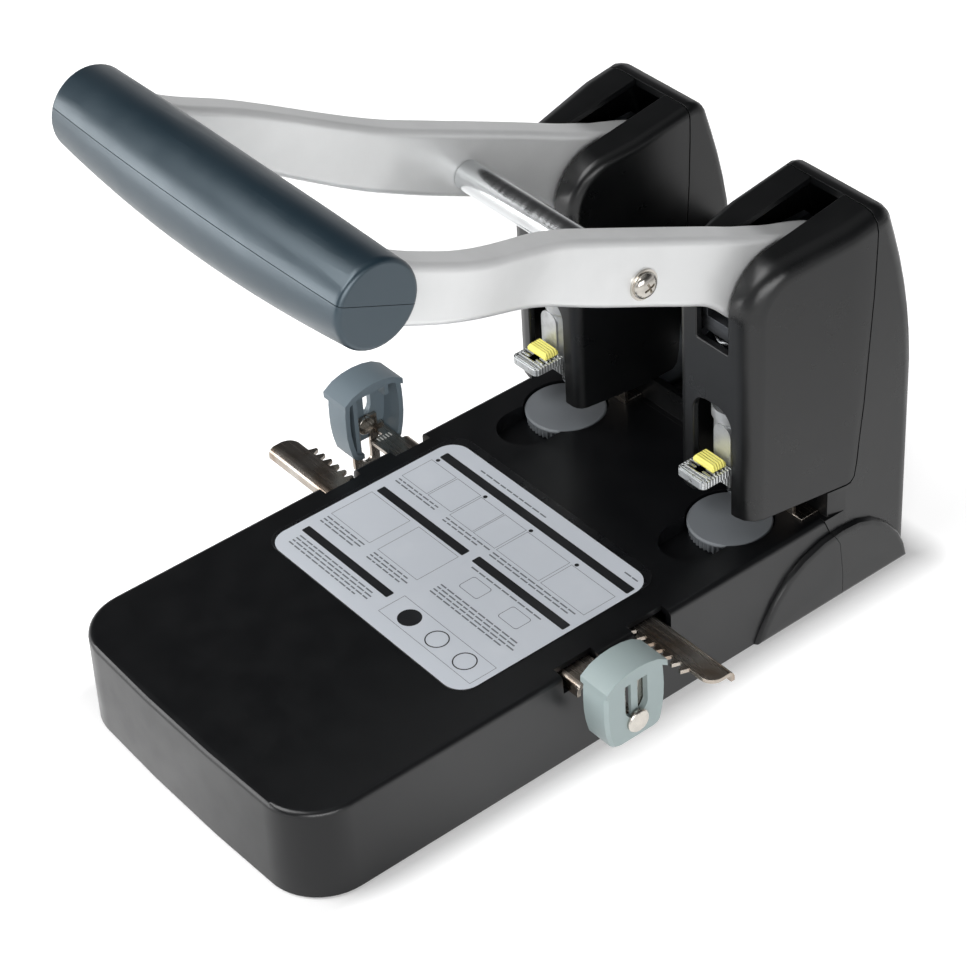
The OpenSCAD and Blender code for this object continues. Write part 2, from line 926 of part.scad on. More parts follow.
// One unbroken coil spring; its closest approach to itself is echoed.
spring_r = 6.6;
spring_z0 = guide_z + guide_t + 0.1 + spring_wire_r;
spring_z1 = web_bottom - 0.1 - spring_wire_r;

function coil_point(s) =
    [spring_r * cos(360 * s * spring_turns),
     spring_r * sin(360 * s * spring_turns),
     mix(spring_z0, spring_z1, s)];

module return_spring() {
    rings = 8 * spring_turns;
    m = 6;
    pts = [for (i = [0 : rings], k = [0 : m - 1])
        let (a = 360 * i / rings * spring_turns,
             c = coil_point(i / rings),
             b = 360 * k / m)
        [c[0] + spring_wire_r * cos(b) * cos(a),
         c[1] + spring_wire_r * cos(b) * sin(a),
         c[2] + spring_wire_r * sin(b)]];
    side = [for (i = [0 : rings - 1], k = [0 : m - 1])
        let (a = i * m + k, b = i * m + (k + 1) % m)
        each [[a, b, a + m], [b, b + m, a + m]]];
    ends = [[for (k = [m - 1 : -1 : 0]) k],
            [for (k = [0 : m - 1]) rings * m + k]];
    translate([hx, punch_y, 0])
        polyhedron(points = pts, faces = concat(side, ends), convexity = 8);
}

module return_spring_right() {
    color([0.6, 0.62, 0.64]) return_spring();
}

module return_spring_left() {
    color([0.6, 0.62, 0.64]) mirrored() return_spring();
}

coil_gap = min([for (i = [0 : 8 * spring_turns - 9], j = [4 : 8])
    j < 6 ? far : norm(coil_point((i + j) / (8 * spring_turns))
                       - coil_point(i / (8 * spring_turns)))]) - 2 * spring_wire_r;
echo(coil_gap = coil_gap);

// ------------------------------------------------------------------ guide

module rack_teeth(x0, x1) {
    w = tooth_p / 4 - backlash / 2;
    k = tan(pressure);
    n0 = ceil(x0 / tooth_p - 0.5);
    n1 = floor(x1 / tooth_p - 0.5);
    up = rack_tip - rack_line;
    down = rack_line - rack_root;
    for (i = [n0 : n1])
        translate([(i + 0.5) * tooth_p, rack_line])
            polygon([[-w - down * k - 0.2, -down - 0.4], [-w - down * k, -down],
                     [k * up - w, up], [w - k * up, up],
                     [w + down * k, -down], [w + down * k + 0.2, -down - 0.4]]);
}

module plate_outline() {
    inner_y = plate_out_y + lip_r;
    corner = 4.5;
    difference() {
        union() {
            translate([-plate_reach, inner_y])
                square([plate_reach + 66, rack_root - inner_y]);
            translate([20, inner_y]) square([46, rack_tip - inner_y]);
            translate([60, neck_y]) square([12, rack_tip - neck_y]);
            translate([70, neck_y]) square([tab_x1 - 70, 3.8]);
            rack_teeth(-84, 14);
        }
        // rounded free end
        translate([-plate_reach, rack_root])
            difference() {
                translate([-1, -corner]) square([corner + 1, corner + 1]);
                translate([corner, -corner]) circle(r = corner);
            }
    }
}

// Section of the lip that is folded down along the outer edge.
module lip_outline() {
    y = plate_out_y + lip_r;
    z = plate_z + plate_t - lip_r;
    inner_r = lip_r - plate_t;
    polygon(concat(
        [[y + 0.2, z + lip_r]],
        [for (a = [90 : 15 : 180]) [y + lip_r * cos(a), z + lip_r * sin(a)]],
        [[plate_out_y, z - 1.4], [plate_out_y + plate_t, z - 1.4]],
        [for (a = [180 : -15 : 90]) [y + inner_r * cos(a), z + inner_r * sin(a)]],
        [[y + 0.2, z + inner_r]]));
}

module guide_plate() {
    translate([0, 0, plate_z])
        linear_extrude(height = plate_t) plate_outline();
    yz(-plate_reach, 66) lip_outline();
    // upright tab that the stop slides on
    difference() {
        union() {
            box([tab_x0, block_y - 5.2, 18.4], [tab_x1, block_y + 5.2, 37.4]);
            box([tab_x0, neck_y, plate_z], [tab_x1, block_y - 5, 32.6]);
        }
        yz(tab_x0 - 1, tab_x1 + 1)
            hull()
                for (z = [block_z + rivet_z - 0.1, block_z + rivet_z + stop_raise + 0.1])
                    translate([block_y, z]) circle(r = 2);
    }
}

module guide_plate_front() {
    color([0.72, 0.7, 0.66]) guide_plate();
}

module guide_plate_rear() {
    color([0.72, 0.7, 0.66]) half_turn() guide_plate();
}

function involute(a) = tan(a) * 180 / PI - a;

module pinion_outline() {
    rb = pitch_r * cos(pressure);
    ra = pitch_r + gear_module;
    rf = pitch_r - 1.2 * gear_module;
    half = 90 / pinion_teeth - backlash / 2 / pitch_r * 180 / PI + involute(pressure);
    n = 4;
    flank = [for (i = [0 : n])
        let (r = mix(rb, ra, i / n), a = acos(min(1, rb / r)))
        [r, half - involute(a)]];
    polygon([for (k = [0 : pinion_teeth - 1])
        let (c = 90 + 360 * k / pinion_teeth)
        each concat(
            [[rf * cos(c - half), rf * sin(c - half)]],
            [for (f = flank) [f[0] * cos(c - f[1]), f[0] * sin(c - f[1])]],
            [for (i = [n : -1 : 0])
                [flank[i][0] * cos(c + flank[i][1]), flank[i][0] * sin(c + flank[i][1])]],
            [[rf * cos(c + half), rf * sin(c + half)]])]);
}

module guide_pinion() {
    color([0.85, 0.85, 0.82])
        translate([0, guide_y, plate_z])
            difference() {
                linear_extrude(height = plate_t) pinion_outline();
                translate([0, 0, -1]) cylinder(h = 5, r = 2.55);
            }
}

module guide_tray() {
    floor_z = plate_z - 2.8;
    color([0.2, 0.2, 0.22])
        difference() {
            union() {
                box([-55.5, -23.5, floor_z - 2], [55.5, 19, floor_z]);
                for (y = [-18, 9])
                    box([-55.5, y, floor_z - 0.1], [55.5, y + 4, plate_z - 0.05]);
                translate([0, guide_y, floor_z - 0.1]) {
                    cylinder(h = 2.8, r = 5);
                    cylinder(h = 4.3, r = 2.5);
                }
            }
            for (s = [-1, 1])
                box([s * 30 - 12, -10, floor_z - 3], [s * 30 + 12, 5, floor_z + 1]);
        }
}

// The stop's outline bulges a little at the sides and is arched on top.
function block_side(z) = 11.8 - 0.0105 * pow(z - 15, 2);
function block_roof(y) = 27.9 - 0.035 * y * y;

module block_outline() {
    r = 3.8;
    right = concat([for (a = [-90 : 30 : 0]) [6.6 + r * cos(a), r + r * sin(a)]],
                   [for (z = [7 : 4 : 23]) [block_side(z), z]]);
    n = len(right);
    polygon(concat(right,
                   [for (y = [10.2 : -3.4 : -10.2]) [y, block_roof(y)]],
                   [for (i = [n - 1 : -1 : 0]) [-right[i][0], right[i][1]]]));
}

module crown_outline() {
    polygon(concat([for (y = [12.3 : -4.1 : -12.3]) [y, block_roof(y) + 0.5]],
                   [for (y = [-12.3 : 4.1 : 12.3]) [y, block_roof(y) - 1.5]]));
}

module guide_stop() {
    hollow_top = 23.7;
    translate([0, block_y, block_z])
        difference() {
            union() {
                difference() {
                    hull() {
                        yz(block_x0, block_x1 - 1.2) block_outline();
                        yz(block_x0, block_x1) offset(delta = -1) block_outline();
                    }
                    // hollow, open inwards, and open below for the tab
                    yz(block_x0 - 1, block_x1 - 2.2)
                        union() {
                            intersection() {
                                offset(delta = -block_wall) block_outline();
                                translate([-15, 0]) square([30, hollow_top]);
                            }
                            translate([-5.5, -1]) square([11, 10]);
                        }
                }
                yz(block_x0 - 0.8, block_x1 + 0.7) crown_outline();
                // ribs that steer the tab
                box([71, 5.7, 1], [block_x1 - 2, 7.3, hollow_top + 0.3]);
                box([71, -7.3, 19.2], [block_x1 - 2, -5.7, hollow_top + 0.3]);
            }
            // window, with a bar left standing in its middle
            difference() {
                yz(block_x1 - 3, block_x1 + 2)
                    hull() {
                        translate([0, 13.3]) circle(r = 4.4);
                        translate([-4.4, 14]) square([8.8, 8.6]);
                    }
                box([0, -1.3, 0], [block_x1 - 1, 1.3, hollow_top]);
            }
            rod_x(0, far, 0, rivet_z, 1.92);
        }
}

module guide_stop_right() {
    color([0.62, 0.67, 0.67]) guide_stop();
}

module guide_stop_left() {
    color([0.5, 0.56, 0.59])
        translate([0, 0, stop_raise])
            half_turn() guide_stop();
}

module stop_rivet() {
    z = block_z + rivet_z;
    rod_x(tab_x0 - 0.2, block_x1 + 0.1, block_y, z, 1.9);
    rod_x(tab_x0 - 1.3, tab_x0 - 0.15, block_y, z, 3.2);
    translate([block_x1 + 0.02, block_y, z])
        rotate([0, 90, 0])
            rotate_extrude()
                polygon([[0, 0], [4, 0], [4, 0.8], [3.6, 1.3], [2.6, 1.6], [0, 1.7]]);
}

module stop_rivet_right() {
    color([0.78, 0.76, 0.72]) stop_rivet();
}

module stop_rivet_left() {
    color([0.78, 0.76, 0.72])
        translate([0, 0, stop_raise])
            half_turn() stop_rivet();
}

// ---------------------------------------------------------- punch boards

module punch_dial() {
    z0 = dial_floor + 0.2;
    rim = dial_top - 1.1;
    n = dial_flutes;
    difference() {
        union() {
            translate([hx, dial_y, z0])
                linear_extrude(height = rim - z0 + 0.1)
                    polygon([for (i = [0 : 4 * n - 1])
                        let (r = dial_r - 0.5 - ((i % 4) < 2 ? 0 : 0.55),
                             a = 360 * (i + 0.25) / (4 * n))
                        [r * cos(a), r * sin(a)]]);
            translate([hx, dial_y, rim])
                rotate_extrude()
                    polygon([[0, 0], [dial_r, 0], [dial_r, 0.6], [dial_r - 0.5, 1.1],
                             [0, 1.1]]);
        }
        translate([hx, dial_y, 0])
            cylinder(h = dial_floor + 2.7, r = dial_post_r + running);
    }
}

module punch_dial_right() {
    color([0.42, 0.43, 0.45]) punch_dial();
}

module punch_dial_left() {
    color([0.42, 0.43, 0.45]) mirrored() punch_dial();
}

// -------------------------------------------------------------- chip tray

module chip_tray() {
    x = 26.4;
    y0 = 90.5;
    y1 = rear_y - 0.1;
    z0 = bottom_top + 0.3;
    z1 = 31.2;
    color([0.16, 0.16, 0.17])
        difference() {
            box([-x, y0, z0], [x, y1, z1]);
            box([2 - x, y0 + 2, z0 + 1.8], [x - 2, y1 - 2.4, z1 + 1]);
            // finger notch in the rear panel
            xz(y1 - 3, y1 + 1)
                translate([0, z1 + 1]) circle(r = 9);
        }
}

// ------------------------------------------------------------------ output

base_cover();
base_bottom();
non_slip_mat();
label_plate();
rear_housing();
front_shell_left();
front_shell_right();
frame_left();
frame_right();
paper_stops();
pivot_shafts();
pivot_bushes();
guide_tray();
lever_arm_left();
lever_arm_right();
grip_upper();
grip_lower();
grip_rod();
crossbar();
crossbar_screws();
drive_pins();
ram_left();
ram_right();
punch_holder_left();
punch_holder_right();
hollow_punch_left();
hollow_punch_right();
release_lever_left();
release_lever_right();
button_left();
button_right();
return_spring_left();
return_spring_right();
guide_plate_front();
guide_plate_rear();
guide_pinion();
guide_stop_left();
guide_stop_right();
stop_rivet_left();
stop_rivet_right();
punch_dial_left();
punch_dial_right();
chip_tray();
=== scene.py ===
import json
import math

import bmesh
import bpy
from mathutils import Matrix, Vector

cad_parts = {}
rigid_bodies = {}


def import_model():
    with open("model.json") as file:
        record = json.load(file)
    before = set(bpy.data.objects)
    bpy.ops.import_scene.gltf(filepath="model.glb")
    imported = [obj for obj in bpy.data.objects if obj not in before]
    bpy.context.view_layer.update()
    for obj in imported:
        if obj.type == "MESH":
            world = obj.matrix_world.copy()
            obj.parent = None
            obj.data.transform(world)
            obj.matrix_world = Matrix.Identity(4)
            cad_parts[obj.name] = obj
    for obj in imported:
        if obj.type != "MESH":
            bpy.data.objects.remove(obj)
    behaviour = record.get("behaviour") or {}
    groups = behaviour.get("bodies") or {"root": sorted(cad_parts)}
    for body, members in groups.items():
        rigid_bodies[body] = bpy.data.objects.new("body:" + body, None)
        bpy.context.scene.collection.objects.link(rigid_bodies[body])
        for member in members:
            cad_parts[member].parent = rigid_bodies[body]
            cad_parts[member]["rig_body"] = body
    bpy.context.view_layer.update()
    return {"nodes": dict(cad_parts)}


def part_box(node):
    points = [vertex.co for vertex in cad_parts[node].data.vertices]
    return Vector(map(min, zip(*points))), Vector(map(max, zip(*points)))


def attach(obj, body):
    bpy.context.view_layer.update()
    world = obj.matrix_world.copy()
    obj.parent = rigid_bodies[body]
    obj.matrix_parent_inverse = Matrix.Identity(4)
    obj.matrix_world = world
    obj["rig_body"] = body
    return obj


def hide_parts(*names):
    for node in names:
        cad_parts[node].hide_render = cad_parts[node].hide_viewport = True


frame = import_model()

# A two-hole punch with a long lever: its surfaces, its pieces, and a plain studio.
# Lengths are in millimetres, and those of the stage and its lamps in metres.

scene = bpy.context.scene
nodes = frame["nodes"]
MM = 0.001
SIDES = {"left": -1, "right": 1}    # the sign of X on each side


# -------------------------------------------------------------------- colours

def linear(rgb):
    """Display colour, 0 to 255, to the linear RGBA values that shaders take."""
    out = []
    for value in rgb:
        value /= 255
        out.append(value / 12.92 if value <= 0.04045 else ((value + 0.055) / 1.055) ** 2.4)
    return (*out, 1)


def grey(level, blue=1.0):
    """Linear RGBA grey; its blue channel can stand a little above the others."""
    return (level, level, level * blue, 1)


def darker(rgb, share):
    """The display colour brought down to a share of itself."""
    return tuple(int(c * share) for c in rgb)


def lighter(rgb, step):
    """The display colour with every channel raised by a step."""
    return tuple(min(255, c + step) for c in rgb)


# -------------------------------------------------------------- shader graphs

class Graph:
    """The node tree of a material or world, cleared, with short calls to fill it."""

    def __init__(self, owner):
        owner.use_nodes = True
        self.tree = owner.node_tree
        self.tree.nodes.clear()

    def new(self, kind, **values):
        node = self.tree.nodes.new(kind)
        for key, value in values.items():
            setattr(node, key, value)
        return node

    def link(self, a, b):
        self.tree.links.new(a, b)

    def maths(self, operation, a, b=0):
        """A Math node; a and b are numbers or sockets."""
        node = self.new("ShaderNodeMath", operation=operation)
        for socket, value in zip(node.inputs, (a, b)):
            if isinstance(value, (int, float)):
                socket.default_value = value
            else:
                self.link(value, socket)
        return node.outputs[0]

    def colour_ramp(self, value, stops):
        """Colour by a value from 0 to 1; a stop is a value and its colour."""
        node = self.new("ShaderNodeValToRGB")
        keys = node.color_ramp.elements
        for at, colour in stops[1:-1]:
            keys.new(at)
        for key, (at, colour) in zip(keys, stops):
            key.position = at
            key.color = colour
        self.link(value, node.inputs[0])
        return node.outputs[0]


NOISE_LOW, NOISE_HIGH = 0.35, 0.65    # where most values of a noise texture lie
PLAIN_IOR, SHEEN_IOR = 1.5, 1.75


class Skin(Graph):
    """A procedural material; every layer adds nodes to it."""

    def __init__(self, name, rgb, rough, metallic=0.0, coat=0.0, coat_rough=0.1,
                 ior=PLAIN_IOR):
        self.mat = bpy.data.materials.new(name)
        super().__init__(self.mat)
        self.bsdf = self.new("ShaderNodeBsdfPrincipled")
        settings = {"Base Color": linear(rgb), "Roughness": rough, "Metallic": metallic,
                    "Coat Weight": coat, "Coat Roughness": coat_rough, "IOR": ior}
        for socket, value in settings.items():
            self.bsdf.inputs[socket].default_value = value
        out = self.new("ShaderNodeOutputMaterial")
        self.link(self.bsdf.outputs[0], out.inputs[0])
        self.place = self.new("ShaderNodeTexCoord").outputs["Object"]
        self.rgb = rgb
        self.rough = rough
        self.colour = None
        self.normal = None

    def noise(self, scale, detail, stretch=(1, 1, 1), distortion=0.0):
        """Cloudy values; the scale is in cells a metre."""
        move = self.new("ShaderNodeMapping")
        move.inputs["Scale"].default_value = stretch
        self.link(self.place, move.inputs[0])
        texture = self.new("ShaderNodeTexNoise")
        texture.inputs["Scale"].default_value = scale
        texture.inputs["Detail"].default_value = detail
        texture.inputs["Distortion"].default_value = distortion
        self.link(move.outputs[0], texture.inputs["Vector"])
        return texture.outputs["Fac"]

    def flakes(self, scale):
        """Distance to the middle of the nearest cell; the scale is in cells a metre."""
        texture = self.new("ShaderNodeTexVoronoi")
        texture.inputs["Scale"].default_value = scale
        self.link(self.place, texture.inputs["Vector"])
        return texture.outputs["Distance"]

    def waves(self, pitch):
        """Waves along Y, from 0 to 1; the pitch is in millimetres."""
        length_at_scale_1 = math.pi / 10
        texture = self.new("ShaderNodeTexWave", bands_direction="Y")
        texture.inputs["Scale"].default_value = length_at_scale_1 / (pitch * MM)
        self.link(self.place, texture.inputs["Vector"])
        return texture.outputs["Fac"]

    def ramp(self, value, low, high, to_low, to_high):
        """The value's range from low to high, stretched to another range."""
        node = self.new("ShaderNodeMapRange")
        ends = {"From Min": low, "From Max": high, "To Min": to_low, "To Max": to_high}
        for socket, end in ends.items():
            node.inputs[socket].default_value = end
        self.link(value, node.inputs["Value"])
        return node.outputs[0]

    def tint(self, value, rgb, low, high, amount):
        """Mixes in another colour, from none at low to the amount at high."""
        mix = self.new("ShaderNodeMix", data_type="RGBA")
        self.link(self.ramp(value, low, high, 0, amount), mix.inputs["Factor"])
        if self.colour is None:
            mix.inputs["A"].default_value = linear(self.rgb)
        else:
            self.link(self.colour, mix.inputs["A"])
        mix.inputs["B"].default_value = linear(rgb)
        self.colour = mix.outputs["Result"]
        self.link(self.colour, self.bsdf.inputs["Base Color"])

    def gloss(self, value, spread):
        """Moves the roughness up and down by the spread."""
        rough = self.ramp(value, NOISE_LOW, NOISE_HIGH, self.rough - spread, self.rough + spread)
        self.link(rough, self.bsdf.inputs["Roughness"])

    def bump(self, value, depth, strength=1.0):
        """Relief on top of the relief so far; the depth is in millimetres."""
        node = self.new("ShaderNodeBump")
        node.inputs["Distance"].default_value = depth * MM
        node.inputs["Strength"].default_value = strength
        self.link(value, node.inputs["Height"])
        if self.normal is not None:
            self.link(self.normal, node.inputs["Normal"])
        self.normal = node.outputs[0]
        self.link(self.normal, self.bsdf.inputs["Normal"])


# ------------------------------------------------------------------ materials

# noise scales that several surfaces share, in cells a metre
GRAIN = 3200
SMUDGE = 90
UNEVEN = 24

RIB_DEPTH = 0.22


def moulded(name, rgb, rough, grain, worn=None, coat=0.0, sheen=None):
    """Moulded plastic: a fine spark-eroded grain, its depth in mm, and rubbed patches.

    A sheen is the colour of a stronger reflection.
    """
    ior = SHEEN_IOR if sheen else PLAIN_IOR
    skin = Skin(name, rgb, rough, coat=coat, coat_rough=0.35, ior=ior)
    if sheen:
        skin.bsdf.inputs["Specular Tint"].default_value = linear(sheen)
    skin.tint(skin.noise(60, detail=4), worn or lighter(rgb, 16), low=0.5, high=0.8, amount=0.3)
    skin.gloss(skin.noise(SMUDGE, detail=6), spread=0.03)
    skin.bump(skin.noise(GRAIN, detail=2), depth=grain)
    skin.bump(skin.noise(UNEVEN, detail=1), depth=0.04, strength=0.2)
    return skin.mat


def add_ribs(skin, pitch, shade, amount):
    """Fine ribs across Y, with painted shade between them; the pitch is in millimetres."""
    waves = skin.waves(pitch)
    # painted shade: the colour is darker in the grooves between the ribs
    skin.tint(waves, darker(skin.rgb, shade), low=0.5, high=0.1, amount=amount)
    skin.bump(waves, depth=RIB_DEPTH)


def ribbed(name, rgb, rough, pitch):
    """Moulded plastic with fine ribs and painted shade between them."""
    skin = Skin(name, rgb, rough)
    add_ribs(skin, pitch, shade=0.86, amount=0.4)
    skin.gloss(skin.noise(SMUDGE, detail=6), spread=0.03)
    skin.bump(skin.noise(GRAIN, detail=2), depth=0.006)
    return skin.mat


def rolled_steel(name, rgb, rough, stain):
    """Plated sheet: fine lines from rolling, warm stains, small pits."""
    skin = Skin(name, rgb, rough, metallic=1.0)
    skin.tint(skin.noise(70, detail=5, distortion=0.6), stain, low=0.42, high=0.66, amount=0.75)
    skin.tint(skin.noise(2200, detail=1), darker(rgb, 0.7), low=0.66, high=0.74, amount=0.5)
    skin.gloss(skin.noise(260, detail=4, stretch=(0.15, 3, 1)), spread=0.05)
    skin.bump(skin.noise(1500, detail=2, stretch=(0.04, 1, 1)), depth=0.0015)
    skin.bump(skin.noise(50, detail=2), depth=0.05, strength=0.3)
    return skin.mat


def turned_steel(name, rgb, rough, axis="X"):
    """Turned and polished bar: rings round its axis."""
    skin = Skin(name, rgb, rough, metallic=1.0)
    rings = [1 if letter == axis else 0.02 for letter in "XYZ"]
    skin.tint(skin.noise(120, detail=3), darker(rgb, 0.85), low=0.5, high=0.75, amount=0.6)
    skin.gloss(skin.noise(900, detail=3, stretch=rings), spread=0.05)
    skin.bump(skin.noise(5000, detail=1, stretch=rings), depth=0.0016)
    return skin.mat


def enamelled(name, rgb, rough):
    """Silver enamel over a casting: metal flake, a soft orange peel."""
    skin = Skin(name, rgb, rough, metallic=0.4, coat=0.15, coat_rough=0.3)
    skin.tint(skin.flakes(5200), lighter(rgb, 22), low=0, high=0.35, amount=0.2)
    skin.tint(skin.noise(35, detail=4), darker(rgb, 0.96), low=0.45, high=0.75, amount=0.6)
    skin.gloss(skin.noise(180, detail=4), spread=0.03)
    skin.bump(skin.noise(520, detail=2), depth=0.008, strength=0.5)
    skin.bump(skin.noise(UNEVEN, detail=1), depth=0.05, strength=0.25)
    return skin.mat


def die_cast(name, rgb, rough, pitch=None):
    """Bare die casting: cloudy, a little rough, with ribs and painted shade between them where a
    pitch is given.
    """
    skin = Skin(name, rgb, rough, metallic=0.7)
    skin.tint(skin.noise(420, detail=5), darker(rgb, 0.8), low=0.45, high=0.7, amount=0.5)
    if pitch:
        add_ribs(skin, pitch, shade=0.5, amount=0.55)
    skin.gloss(skin.noise(600, detail=4), spread=0.08)
    skin.bump(skin.noise(1500, detail=4), depth=0.012)
    return skin.mat


def rubbery(name, rgb, rough):
    """Dull rubber with dusty patches."""
    skin = Skin(name, rgb, rough)
    skin.tint(skin.noise(300, detail=5), lighter(rgb, 14), low=0.45, high=0.7, amount=0.7)
    skin.bump(skin.noise(1800, detail=4), depth=0.02)
    return skin.mat


def printed(name, rgb, rough, stain):
    """Printed film: even ink with a faint sheen and a little dust."""
    skin = Skin(name, rgb, rough, coat=0.3, coat_rough=0.2)
    skin.tint(skin.noise(90, detail=4), stain, low=0.5, high=0.8, amount=0.4)
    skin.tint(skin.noise(2600, detail=2), stain, low=0.7, high=0.78, amount=0.3)
    skin.gloss(skin.noise(200, detail=3), spread=0.05)
    skin.bump(skin.noise(900, detail=2), depth=0.004)
    return skin.mat


BLACK = moulded("black_satin", (10, 11, 13), 0.32, grain=0.006, worn=(15, 16, 18))
TOWER = moulded("black_tower", (12, 13, 14), 0.30, grain=0.006, worn=(17, 17, 18))
TRAY = moulded("black_tray", (24, 24, 25), 0.45, grain=0.014)
GRIP = moulded("slate_grip", (18, 36, 46), 0.36, grain=0.005, worn=(24, 42, 52),
               coat=0.25, sheen=(226, 244, 255))
STOP = moulded("grey_stop", (158, 172, 172), 0.42, grain=0.008, worn=(170, 182, 182))
# painted shade: a darker copy of the grey stop's colour, for the left stop, which stands in shade
STOP_SHADED = moulded("grey_stop_painted_shade", (104, 117, 125), 0.42, grain=0.008, worn=(116, 128, 135))
DIAL = moulded("punch_board", (112, 116, 120), 0.5, grain=0.014, worn=(124, 128, 131))
NYLON = moulded("nylon_pinion", (214, 214, 204), 0.4, grain=0.006)
INNER = moulded("dark_guide_tray", (26, 27, 29), 0.5, grain=0.012)
YELLOW = ribbed("yellow_button", (255, 246, 128), 0.42, pitch=1.0)
ARM = enamelled("silver_enamel", (226, 227, 227), 0.36)
PLATE = rolled_steel("plated_sheet", (186, 180, 172), 0.26, stain=(140, 118, 98))
FRAME = rolled_steel("frame_sheet", (172, 180, 188), 0.38, stain=(140, 144, 148))
BAR = turned_steel("polished_bar", (212, 214, 215), 0.2)
RAM = turned_steel("machined_ram", (92, 94, 97), 0.4, axis="Z")
SCREW = turned_steel("nickel_screw", (205, 200, 192), 0.2)
SPRING = turned_steel("spring_wire", (150, 152, 154), 0.25, axis="Z")
HOLDER = die_cast("cast_holder", (200, 202, 203), 0.4)
LATCH = die_cast("die_cast_latch", (222, 225, 226), 0.34, pitch=1.15)
BUSH = die_cast("bronze_bush", (150, 120, 78), 0.4)
RUBBER = rubbery("rubber_mat", (28, 28, 28), 0.75)
FILM = printed("label_film_edge", (17, 18, 20), 0.3, stain=(24, 25, 27))
LABEL = printed("label_film", (202, 207, 214), 0.34, stain=(212, 216, 222))
INK = printed("label_ink", (24, 25, 28), 0.4, stain=(38, 39, 42))
LINE = printed("label_line", (104, 108, 114), 0.4, stain=(120, 124, 130))
MARK = printed("scale_mark", (236, 236, 232), 0.4, stain=(214, 214, 208))


# --------------------------------------------------------------- mesh helpers

SHARP_ANGLE = 34    # degrees; sharper edges are rounded
WIRE_ANGLE = 70     # degrees, for the facets of coiled wire
CAST_ANGLE = 40     # degrees, for the arms
MERGE_GAP = 2e-6    # metres between points that are one
FLAT_ANGLE = 0.8    # degrees within which triangles are one face


def mesh_object(name, bm):
    mesh = bpy.data.meshes.new(name)
    bm.to_mesh(mesh)
    bm.free()
    obj = bpy.data.objects.new(name, mesh)
    scene.collection.objects.link(obj)
    return obj


def paint(obj, mat):
    obj.data.materials.clear()
    obj.data.materials.append(mat)


def smooth(obj, degrees):
    """Smooth shading, with edges sharper than the angle kept sharp."""
    bm = bmesh.new()
    bm.from_mesh(obj.data)
    limit = math.radians(degrees)
    for face in bm.faces:
        face.smooth = True
    for edge in bm.edges:
        edge.smooth = len(edge.link_faces) == 2 and edge.calc_face_angle(0) < limit
    bm.to_mesh(obj.data)
    bm.free()


def round_edges(obj, width, degrees, segments):
    """Rounds the edges that are sharper than the angle; the width is in millimetres."""
    bevel = obj.modifiers.new("round_edges", "BEVEL")
    bevel.width = width * MM
    bevel.segments = segments
    bevel.limit_method = "ANGLE"
    bevel.angle_limit = math.radians(degrees)
    bevel.use_clamp_overlap = True
    bevel.miter_outer = "MITER_ARC"


def finish_mesh(obj, width, degrees=SHARP_ANGLE, segments=2):
    """Smooth faces, round edges where there is a width, and even shading."""
    smooth(obj, degrees)
    if width:
        round_edges(obj, width, degrees, segments)
    even = obj.modifiers.new("even_shading", "WEIGHTED_NORMAL")
    even.keep_sharp = True
    even.weight = 80


def seat(obj, node, mat):
    """The piece takes the CAD node's place: its body, slot and surface."""
    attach(obj, nodes[node]["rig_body"])
    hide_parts(node)
    paint(obj, mat)


def cleaned(node):
    """The CAD node's surface with its triangles merged into whole faces."""
    bm = bmesh.new()
    bm.from_mesh(nodes[node].data)
    bmesh.ops.remove_doubles(bm, verts=bm.verts, dist=MERGE_GAP)
    bmesh.ops.dissolve_limit(bm, angle_limit=math.radians(FLAT_ANGLE), verts=bm.verts,
                             edges=bm.edges, delimit=set())
    bm.normal_update()
    return bm


def dressed(node, name, mat, width, degrees=SHARP_ANGLE):
    """A piece in the CAD node's shape, with its edges rounded by a width in mm."""
    obj = mesh_object(name, cleaned(node))
    finish_mesh(obj, width, degrees)
    seat(obj, node, mat)


def quarter_turn(first, count):
    """Angles in radians over 90 degrees, from the first, which is in degrees."""
    return [math.radians(first + 90 * i / (count - 1)) for i in range(count)]


def loft(name, rings):
    """A closed body through rings that have the same number of points."""
    bm = bmesh.new()
    rows = [[bm.verts.new(point) for point in ring] for ring in rings]
    count = len(rows[0])
    for here, there in zip(rows, rows[1:]):
        for i in range(count):
            after = (i + 1) % count
            bm.faces.new((here[i], there[i], there[after], here[after]))
    bm.faces.new(rows[0])
    bm.faces.new(rows[-1][::-1])
    bmesh.ops.recalc_face_normals(bm, faces=bm.faces)
    return mesh_object(name, bm)


# ----------------------------------------------------------------- edge stops

CROWN_LIFT = 2.2        # how much the crown's two ends rise
CROWN_OVERHANG = 0.6    # how far the solid's crown stands over its sides
OVERHANG_KEPT = 0.25    # the share of it that stays
STOP_EDGE = 0.6


def stop_block(hand):
    """A paper guide's stop: its crown is flatter and overhangs less than the solid's."""
    node = "guide_stop_" + hand
    bm = cleaned(node)
    ys = [vert.co.y for vert in bm.verts]
    zs = [vert.co.z for vert in bm.verts]
    middle = (max(ys) + min(ys)) / 2
    reach = (max(ys) - min(ys)) / 2 - CROWN_OVERHANG * MM
    foot, height = min(zs), max(zs) - min(zs)
    for vert in bm.verts:
        off = vert.co.y - middle
        side = min(1, abs(off) / reach)
        vert.co.z += CROWN_LIFT * MM * side * side * ((vert.co.z - foot) / height) ** 2
        over = abs(off) - reach
        if over > 0:
            vert.co.y = middle + math.copysign(reach + OVERHANG_KEPT * over, off)
    obj = mesh_object("stop_block_" + hand, bm)
    finish_mesh(obj, STOP_EDGE, segments=3)
    # the left stop wears the darker copy of the grey, painted shade
    seat(obj, node, STOP if hand == "right" else STOP_SHADED)


# ----------------------------------------------------------------- lever arms

